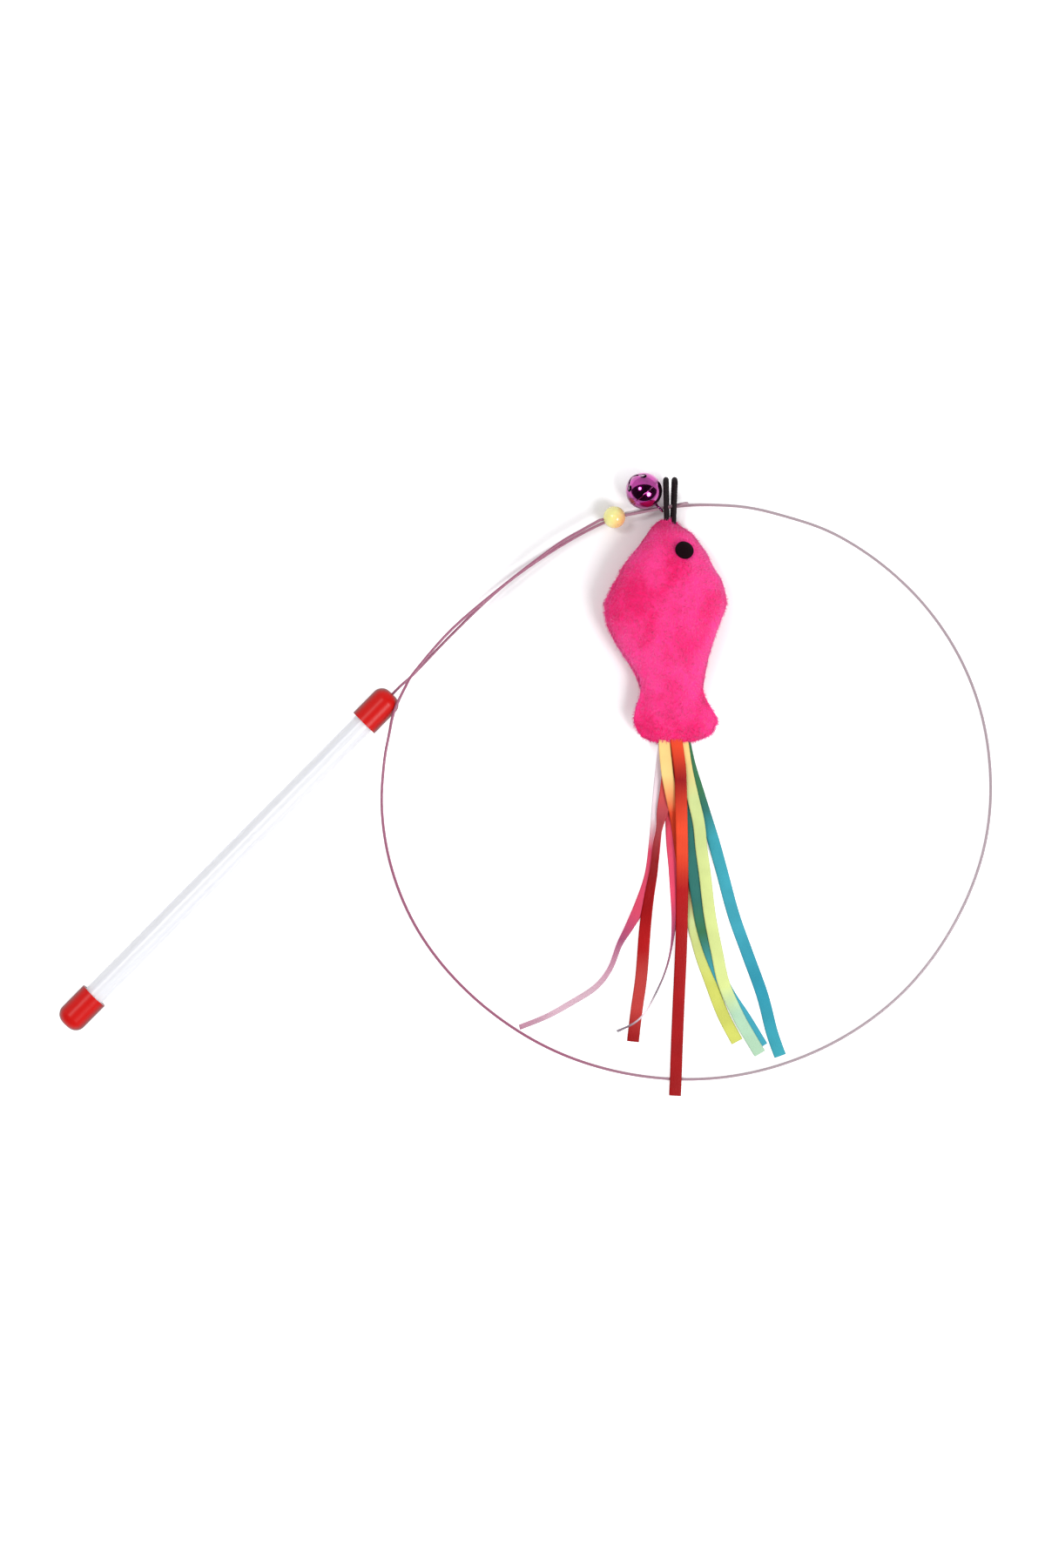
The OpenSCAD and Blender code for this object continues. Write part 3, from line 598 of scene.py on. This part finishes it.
class WAND_OT_ribbons(bpy.types.Operator):
    """Weave the eight satin ribbons of the tail"""

    bl_idname = "wand.ribbons"
    bl_label = "Ribbons"
    steps = 8
    columns = 9
    sewn_in = 3.0
    gathered = 0.8
    held_share = 0.3
    bend_over = 7.0
    crown = 0.12
    thinner_edge = 0.36

    # Shades along each ribbon: millimetres from the tail seam, and which colour
    shades = {
        "pink_long": [
            (12, "pale"), (32, "pale"), (46, "pink"), (72, "pink"), (86, "mauve"), (97, "lilac"),
            (112, "blush"), (128, "blush"), (142, "lilac")],
        # The curl's grey is painted shade, where it stands on its edge away from the light
        "pink_curl": [
            (10, "orange"), (40, "pink"), (66, "pink"), (82, "mauve"), (106, "grey"),
            (115, "pale"), (125, "grey")],
        "teal_short": [(45, "slate"), (66, "slate"), (80, "moss"), (100, "sky"), (130, "sky")],
        "teal_long": [
            (22, "moss"), (30, "slate"), (42, "teal"), (80, "sky"), (108, "deep_teal"),
            (135, "teal")],
        "red_short": [
            (4, "orange"), (30, "rose"), (50, "dark_red"), (88, "red"), (98, "coral"),
            (112, "coral"), (124, "dark_red")],
        "yellow_long": [
            (5, "golden"), (24, "straw"), (60, "lemon"), (104, "lemon"), (116, "mint"),
            (130, "mint")],
        "red_long": [
            (2, "orange"), (16, "dark_red"), (34, "orange"), (46, "orange"), (62, "red"),
            (140, "dark_red")],
        "yellow_short": [
            (2, "golden"), (14, "golden"), (30, "orange"), (60, "dark_red"), (76, "straw"),
            (104, "lime"), (130, "lime")],
    }
    alphas = {"pink": 0.9, "red": 1.0, "teal": 0.97, "yellow": 0.95}

    def execute(self, context):
        sizes, colours = context.scene.wand_sizes, context.scene.wand_colours
        for name, route in RIBBON_ROUTES.items():
            self.weave(name, route, sizes.ribbon_width, sizes.ribbon_thickness, colours)
        return {"FINISHED"}

    def weave(self, name, route, width, thickness, colours):
        """Sweeps one ribbon's crowned section along its route, from inside the tail."""
        route = [(*point, 0)[:4] for point in route]
        first = route[0]
        inner = (first[0] * self.gathered, self.sewn_in, *first[2:])
        path = smooth_curve([inner, *route], self.steps)
        spine = path[:, :3] + np.array(TAIL_ROOT)
        _, right, up = directions(spine)
        roll = np.radians(path[:, 3])[:, None]
        across = np.cos(roll) * right + np.sin(roll) * up
        thick = np.cos(roll) * up - np.sin(roll) * right
        shares = np.linspace(-1, 1, self.columns)
        points = []
        for i in range(len(spine)):
            for side in (1, -1):
                for s in shares if side > 0 else shares[::-1]:
                    rise = self.crown * (1 - s * s) - self.crown / 2
                    edge = thickness * (0.5 if abs(s) < 1 else self.thinner_edge)
                    points.append(
                        spine[i] + s * width / 2 * across[i] + (rise + side * edge) * thick[i])
        sides = 2 * self.columns
        length = float(distances(spine)[-1])
        colour = name.split("_")[0]
        shades = [
            (at + self.sewn_in, getattr(colours, "satin_" + shade))
            for at, shade in self.shades[name]]
        material = satin_ribbon(
            "woven_polyester_satin_" + name, length, shades, self.alphas[colour])
        piece = new_piece(
            "satin_" + name, points, ring_faces(len(spine), sides), material, None)
        # On its edge the curl is too thin and pale to leave a shadow on the ribbon below
        piece.visible_shadow = name != "pink_curl"
        self.unwrap(piece, spine, shares, width, sides)
        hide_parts("ribbon_" + name)
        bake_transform(piece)

    def unwrap(self, piece, spine, shares, width, sides):
        """Lays the weave flat: millimetres across the ribbon and along it."""
        lengths = distances(spine)
        across = np.concatenate([shares, shares[::-1]]) * width / 2
        layer = piece.data.uv_layers.new(name="weave")
        for loop in piece.data.loops:
            ring, column = divmod(loop.vertex_index, sides)
            layer.data[loop.index].uv = (across[column], lengths[ring])


def fish_points(steps, sides):
    """Rings of points over the fish's skin, with the seam drawn in round its edge."""
    rows = smooth_curve(FISH_SHARES, steps)
    angles = np.arange(sides) * 2 * math.pi / sides
    seam_depth, seam_width, shallow_below = 0.25, 0.16, 8
    points = np.zeros((len(rows), sides, 3))
    for i, (t, left, right, seam, upper, lower) in enumerate(rows):
        for k, a in enumerate(angles):
            c, s = math.cos(a), math.sin(a)
            x = math.copysign(abs(c) ** (2 / SKIN_POWER), c)
            z = math.copysign(abs(s) ** (2 / SKIN_POWER), s)
            wide = (left if c > 0 else right) * FISH_WIDTH / 2
            high = (upper if s > 0 else lower) * FISH_THICKNESS
            drawn = seam_depth * math.exp(-(s / seam_width) ** 2) * min(1, wide / shallow_below)
            points[i, k] = (
                NOSE.x + t * TAIL_SHIFT - (wide - drawn) * x,
                NOSE.y - t * FISH_LENGTH,
                seam * FISH_THICKNESS + high * z)
    return points


class WAND_OT_fish(bpy.types.Operator):
    """Sew the plush fish and raise its pile"""

    bl_idname = "wand.fish"
    bl_label = "Plush fish"
    steps = 6
    sides = 72
    lump_mm = 9.0
    lump_height = 0.45
    dimple_mm = 2.6
    dimple_height = 0.14
    floor_gap = 0.1
    strand_radius = 0.07
    strand_heights = (0.6, 1.15)
    brushed_to = (0.1, -0.8, 0)
    scatter = 0.35
    seed = 7
    clear_of_eye = 0.6
    cloth_excess = 0.05
    cloth_pressure = 4.0
    cloth_bending = 0.5
    cloth_reach = 1.2
    cloth_frames = 20

    def execute(self, context):
        colours, sizes = context.scene.wand_colours, context.scene.wand_sizes
        skin = plush_fabric(
            colours, "knitted_polyester_plush_pink", colours.plush_dark, colours.plush_light,
            sheen=0.55, soft=0.15, rough_mm=0.12)
        points = fish_points(self.steps, self.sides)
        points = self.sew(points)
        points = self.stuff(points)
        faces = ring_faces(len(points), self.sides)[:-2]
        piece = new_piece("plush_fish", points.reshape(-1, 3), faces, skin, "toy")
        self.close_ends(piece)
        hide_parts("fish_body", "fish_tail")
        if sizes.pile_strands:
            tips = plush_fabric(
                colours, "knitted_polyester_pile_pink", colours.plush_mid, colours.plush_tip,
                sheen=0.8, soft=0.3, rough_mm=0)
            self.raise_pile(piece, tips, sizes.pile_length, sizes.pile_strands)
        felt = pressed_felt(colours)
        dress("eye_front", felt)
        dress("eye_back", felt)
        return {"FINISHED"}

    def sew(self, points):
        """Blows the skin up as cloth that is held at its seam. The cloth is cut a little
        too large, so it puckers where it is sewn, as stuffed plush does."""
        rings = len(points)
        grown = 0.01  # metres of simulated cloth for each real millimetre
        mesh = bpy.data.meshes.new("sewing")
        mesh.from_pydata(
            (points.reshape(-1, 3) * grown).tolist(), [], ring_faces(rings, self.sides))
        cloth = bpy.data.objects.new("sewing", mesh)
        bpy.context.scene.collection.objects.link(cloth)
        held = cloth.vertex_groups.new(name="seam")
        half = self.sides // 2
        seam = [i * self.sides + k for i in range(rings) for k in (0, half)]
        ends = [i * self.sides + k for i in (0, rings - 1) for k in range(self.sides)]
        held.add(seam + ends, 1.0, "REPLACE")
        settings = cloth.modifiers.new("sewing", "CLOTH").settings
        settings.quality = 6
        settings.mass = 0.3
        settings.tension_stiffness = 20
        settings.compression_stiffness = 20
        settings.shear_stiffness = 8
        settings.bending_stiffness = self.cloth_bending
        settings.vertex_group_mass = "seam"
        settings.shrink_min = -self.cloth_excess
        settings.use_pressure = True
        settings.uniform_pressure_force = self.cloth_pressure
        settings.effector_weights.gravity = 0
        scene = bpy.context.scene
        for moment in range(1, self.cloth_frames + 1):
            scene.frame_set(moment)
        made = cloth.evaluated_get(bpy.context.evaluated_depsgraph_get())
        sewn = np.empty(len(mesh.vertices) * 3)
        made.data.vertices.foreach_get("co", sewn)
        scene.frame_set(1)
        bpy.data.objects.remove(cloth)
        bpy.data.meshes.remove(mesh)
        moved = sewn.reshape(points.shape) / grown - points
        far = np.linalg.norm(moved, axis=2, keepdims=True)
        return points + moved * np.minimum(1, self.cloth_reach / np.maximum(far, 1e-9))

    def stuff(self, points):
        """Pushes the skin out and in where the stuffing is lumpy."""
        normals = np.cross(
            np.roll(points, -1, axis=1) - np.roll(points, 1, axis=1), np.gradient(points, axis=0))
        normals /= np.maximum(np.linalg.norm(normals, axis=2), 1e-9)[:, :, None]
        middle = points.mean(axis=1, keepdims=True)
        facing = np.sign((normals * (points - middle)).sum(axis=2))
        normals *= facing[:, :, None]
        for i in range(len(points)):
            for k in range(self.sides):
                p = Vector(points[i, k])
                push = self.lump_height * noise.noise(p / self.lump_mm)
                push += self.dimple_height * noise.noise(p / self.dimple_mm)
                points[i, k] += normals[i, k] * push
        points[:, :, 2] = np.maximum(points[:, :, 2], self.floor_gap)
        return points

    def close_ends(self, piece):
        """Caps the nose and the tail end of the skin."""
        mesh = piece.data
        count = len(mesh.vertices)
        faces = [tuple(p.vertices) for p in mesh.polygons]
        faces.append(tuple(range(self.sides))[::-1])
        faces.append(tuple(range(count - self.sides, count)))
        points = [v.co.copy() for v in mesh.vertices]
        mesh.clear_geometry()
        mesh.from_pydata(points, [], faces)
        mesh.polygons.foreach_set("use_smooth", [True] * len(mesh.polygons))

    def raise_pile(self, piece, material, length, count):
        """Plants short bent strands all over the skin, brushed towards the tail."""
        draw = np.random.default_rng(self.seed)
        mesh = piece.data
        mesh.calc_loop_triangles()
        corners = np.array(
            [[mesh.vertices[v].co[:] for v in t.vertices] for t in mesh.loop_triangles]) / MM
        edges = np.cross(corners[:, 1] - corners[:, 0], corners[:, 2] - corners[:, 0])
        areas = np.linalg.norm(edges, axis=1)
        chosen = draw.choice(len(areas), count, p=areas / areas.sum())
        a, b = draw.random((2, count, 1))
        over = a + b > 1
        a, b = np.where(over, 1 - a, a), np.where(over, 1 - b, b)
        root = corners[chosen, 0] * (1 - a - b) + corners[chosen, 1] * a + corners[chosen, 2] * b
        normal = edges[chosen] / np.maximum(areas[chosen], 1e-9)[:, None]
        outward = np.sign((normal * (root - corners.mean(axis=(0, 1)))).sum(axis=1))
        normal *= np.where(outward == 0, 1, outward)[:, None]
        low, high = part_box("eye_front")
        middle, reach = (low + high) / 2 / MM, (high.y - low.y) / 2 / MM + self.clear_of_eye
        beside = np.linalg.norm(root[:, :2] - np.array(middle)[:2], axis=1) > reach
        root, normal, count = root[beside], normal[beside], int(beside.sum())
        brushed = np.array(self.brushed_to) + draw.normal(0, self.scatter, (count, 3))
        lean = brushed - normal * (brushed * normal).sum(axis=1)[:, None]
        tall = length * draw.uniform(*self.strand_heights, (count, 1))
        middle = root + tall * (0.5 * normal + 0.2 * lean)
        tip = root + tall * (0.62 * normal + 0.75 * lean)
        side = np.cross(normal, lean)
        side /= np.maximum(np.linalg.norm(side, axis=1), 1e-9)[:, None]
        back = np.cross(side, normal)
        prongs = ((1, 0), (-0.5, 0.87), (-0.5, -0.87))
        offsets = [(s * side + b * back) * self.strand_radius for s, b in prongs]
        points = np.stack(
            [root + o for o in offsets] + [middle + 0.75 * o for o in offsets] + [tip], axis=1)
        points[:, :, 2] = np.maximum(points[:, :, 2], self.floor_gap / 2)
        base = np.arange(count)[:, None] * points.shape[1]
        faces = []
        for face in ((0, 1, 4, 3), (1, 2, 5, 4), (2, 0, 3, 5), (3, 4, 6), (4, 5, 6), (5, 3, 6)):
            faces += (base + np.array(face)).tolist()
        pile = new_piece("plush_pile", points.reshape(-1, 3), faces, material, "toy")


class WAND_OT_elastic(bpy.types.Operator):
    """Braid the two elastic loops that hold the fish"""

    bl_idname = "wand.elastic"
    bl_label = "Elastic loops"
    slope = 15.0
    splay = 1.7
    twist = 9.0
    slack = 0.15
    sewn = 3.0
    reach = 9.6
    pitch = 3.0
    arc_points = 13
    limb_points = 24
    steps = 3
    sides = 24
    yarns = 6
    yarn_turn_mm = 7.0
    ridge = 0.07
    bulge = 0.14
    bulge_reach = 3.0

    def execute(self, context):
        sizes = context.scene.wand_sizes
        material = braided_elastic(context.scene.wand_colours)
        bend = sizes.wire_diameter / 2 + self.slack + sizes.elastic_diameter / 2
        sewn_end = HOOK.y - NOSE.y + self.sewn
        arc = [(0, self.reach + bend * math.sin(a), bend * math.cos(a))
               for a in np.linspace(0, math.pi, self.arc_points)]
        limb = np.linspace(-sewn_end, self.reach, self.limb_points, endpoint=False)
        line = [(0, y, bend) for y in limb] + arc + [(0, y, -bend) for y in limb[::-1]]
        for name, side in (("left", -1), ("right", 1)):
            place = (Matrix.Translation(HOOK + Vector((side * self.pitch / 2, 0, 0)))
                     @ Matrix.Rotation(math.radians(self.slope), 4, "X")
                     @ Matrix.Rotation(math.radians(-side * self.splay), 4, "Z")
                     @ Matrix.Rotation(math.radians(side * self.twist), 4, "Y"))
            path = np.array([place @ Vector(p) for p in smooth_curve(line, self.steps)])
            piece = self.braid(name, path, sizes.elastic_diameter / 2, material)
            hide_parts("elastic_loop_" + name)
        return {"FINISHED"}

    def braid(self, name, path, radius, material):
        """Sweeps a round cord whose skin rises where yarns of both hands cross."""
        _, right, up = directions(path, np.cross(path[1] - path[0], path[-1] - path[0]))
        lengths = distances(path)
        points = []
        for i in range(len(path)):
            for k in range(self.sides):
                a = 2 * math.pi * k / self.sides
                turn = 2 * math.pi * lengths[i] / self.yarn_turn_mm
                crest = max(math.sin(self.yarns * (a + turn)), math.sin(self.yarns * (a - turn)))
                r = radius * (1 - self.ridge + self.ridge * crest)
                from_bend = (lengths[i] - lengths[-1] / 2) / self.bulge_reach
                r *= 1 + self.bulge * math.exp(-from_bend ** 2)
                points.append(path[i] + r * (math.cos(a) * right[i] + math.sin(a) * up[i]))
        faces = ring_faces(len(path), self.sides)
        return new_piece("elastic_" + name, points, faces, material, "toy")


class WAND_OT_hard_parts(bpy.types.Operator):
    """Finish the handle, the bead and the bell"""

    bl_idname = "wand.hard_parts"
    bl_label = "Hard parts"

    def execute(self, context):
        colours = context.scene.wand_colours
        finishes = {
            dipped_vinyl(colours): ("grip_cap", "tip_cap"),
            extruded_tube(colours): ("handle_tube", "wire_plug"),
            cast_bead(colours): ("stop_bead",),
            lacquered_bell(colours): ("bell_shank", "bell_top_shell", "bell_slotted_shell"),
            turned_ball(): ("bell_ball",),
        }
        for material, nodes in finishes.items():
            for node in nodes:
                dress(node, material)
        return {"FINISHED"}


class WAND_OT_stage(bpy.types.Operator):
    """Set the floor, the studio ceiling, the lamps and the world"""

    bl_idname = "wand.stage"
    bl_label = "Stage"
    aimed_at = (0.06, 0, 0)
    shadow_middle = (0.09, 0.06, 0)
    shadow_edge = (0.042, 0.066)
    # Strength of the painted glow that lightens the paper far from the fish
    painted_paper_glow = 0.45

    def execute(self, context):
        self.floor()
        self.ceiling()
        # Each lamp: place in metres, width, power in watts
        self.lamp("key_lamp", (1.0, -0.7, 1.42), 0.72, 19)
        self.lamp("left_lamp", (-0.7, 0.42, 1.6), 0.5, 8.5)
        self.world(context)
        context.scene.view_settings.view_transform = "Standard"
        return {"FINISHED"}

    def plane(self, name, corners, material):
        """Makes one flat sheet of the stage, which is no part of the wand."""
        thing = new_piece(name, corners, [(0, 1, 2, 3)], material, None)
        return thing

    def seen(self, tree):
        """Is 1 for a ray from the camera, from a mirror or through clear plastic."""
        rays = add_node(tree, "ShaderNodeLightPath").outputs
        mirrored = {0: rays["Is Camera Ray"], 1: rays["Is Glossy Ray"]}
        either = add_node(tree, "ShaderNodeMath", None, mirrored, operation="MAXIMUM")
        through = {0: either.outputs[0], 1: rays["Is Transmission Ray"]}
        return add_node(tree, "ShaderNodeMath", None, through, operation="MAXIMUM").outputs[0]

    def floor(self):
        """White paper with a painted glow for the camera, which keeps it white and fades the
        shadows away from the fish.
        """
        material, tree, surface, place = new_material("studio_paper_white")
        tone = two_tone(tree, grain(tree, place, 40), "#F4F4F6", "#F8F8F9")
        paint(tree, surface, tone)
        settle(surface, roughness=0.9)
        # Painted light: away from the fish's shadow the paper glows more, so the shadows of the
        # other parts fade
        middle = {1: self.shadow_middle}
        away = add_node(tree, "ShaderNodeVectorMath", middle, {0: place}, operation="DISTANCE")
        painted_light = spread(tree, away.outputs["Value"], *self.shadow_edge, self.painted_paper_glow)
        strength = {0: self.seen(tree), 1: painted_light}
        lift = add_node(tree, "ShaderNodeMath", None, strength, operation="MULTIPLY").outputs[0]
        glow = add_node(
            tree, "ShaderNodeEmission", {"Color": (1, 1, 1, 1)}, {"Strength": lift}).outputs[0]
        both = add_node(tree, "ShaderNodeAddShader", None, {0: surface.outputs[0], 1: glow})
        tree.links.new(both.outputs[0], tree.nodes["Material Output"].inputs["Surface"])
        half, low = 40000, -0.3
        corners = [(-half, -half, low), (half, -half, low), (half, half, low), (-half, half, low)]
        self.plane("floor", corners, material)

    def ceiling(self):
        """A dark studio ceiling, which only mirrors see, so that metal has contrast."""
        material, _, surface, _ = new_material("studio_ceiling_matt_black")
        settle(surface, colour=linear("#1A1418"), roughness=1.0)
        wide, near, far, high = 40000, -8000, 2100, 2600
        corners = [(-wide, near, high), (-wide, far, high), (wide, far, high), (wide, near, high)]
        ceiling = self.plane("ceiling", corners, material)
        ceiling.visible_camera = False
        ceiling.visible_diffuse = False
        ceiling.visible_shadow = False
        ceiling.visible_transmission = False

    def lamp(self, name, place, width, power):
        """Hangs a round soft lamp that is aimed at the middle of the wand."""
        data = bpy.data.lights.new(name, "AREA")
        data.shape = "DISK"
        data.size = width
        data.energy = power
        lamp = bpy.data.objects.new(name, data)
        lamp.location = place
        aim = Vector(self.aimed_at) - lamp.location
        lamp.rotation_euler = aim.to_track_quat("-Z", "Y").to_euler()
        lamp.visible_camera = False
        bpy.context.scene.collection.objects.link(lamp)

    def world(self, context):
        """Even light from all round, and white where a ray leaves the studio."""
        world = bpy.data.worlds.new("studio")
        world.use_nodes = True
        tree = world.node_tree
        tree.nodes.clear()
        seen = self.seen(tree)
        soft = add_node(tree, "ShaderNodeBackground", {"Color": (1, 1, 1, 1), "Strength": 0.6})
        white = add_node(tree, "ShaderNodeBackground", {"Color": (1, 1, 1, 1), "Strength": 1.0})
        shaders = {0: seen, 1: soft.outputs[0], 2: white.outputs[0]}
        mix = add_node(tree, "ShaderNodeMixShader", None, shaders)
        add_node(tree, "ShaderNodeOutputWorld", links={"Surface": mix.outputs[0]})
        context.scene.world = world


class WAND_PT_panel(bpy.types.Panel):
    """Lists the wand's pieces, sizes and colours"""

    bl_label = "Teaser Wand"
    bl_idname = "WAND_PT_panel"
    bl_space_type = "VIEW_3D"
    bl_region_type = "UI"
    bl_category = "Teaser Wand"

    def draw(self, context):
        for operator in OPERATORS:
            self.layout.operator(operator.bl_idname)
        for group in (context.scene.wand_sizes, context.scene.wand_colours):
            for name in group.__annotations__:
                self.layout.prop(group, name)


OPERATORS = (
    WAND_OT_camera, WAND_OT_wire, WAND_OT_ribbons, WAND_OT_fish, WAND_OT_elastic,
    WAND_OT_hard_parts, WAND_OT_stage,
)
CLASSES = (WandColours, WandSizes, *OPERATORS, WAND_PT_panel)


def register():
    for cls in CLASSES:
        bpy.utils.register_class(cls)
    bpy.types.Scene.wand_colours = bpy.props.PointerProperty(type=WandColours)
    bpy.types.Scene.wand_sizes = bpy.props.PointerProperty(type=WandSizes)


def unregister():
    del bpy.types.Scene.wand_sizes
    del bpy.types.Scene.wand_colours
    for cls in reversed(CLASSES):
        bpy.utils.unregister_class(cls)


def main():
    register()
    for operator in OPERATORS:
        group, name = operator.bl_idname.split(".")
        getattr(getattr(bpy.ops, group), name)()


if __name__ == "__main__":
    main()
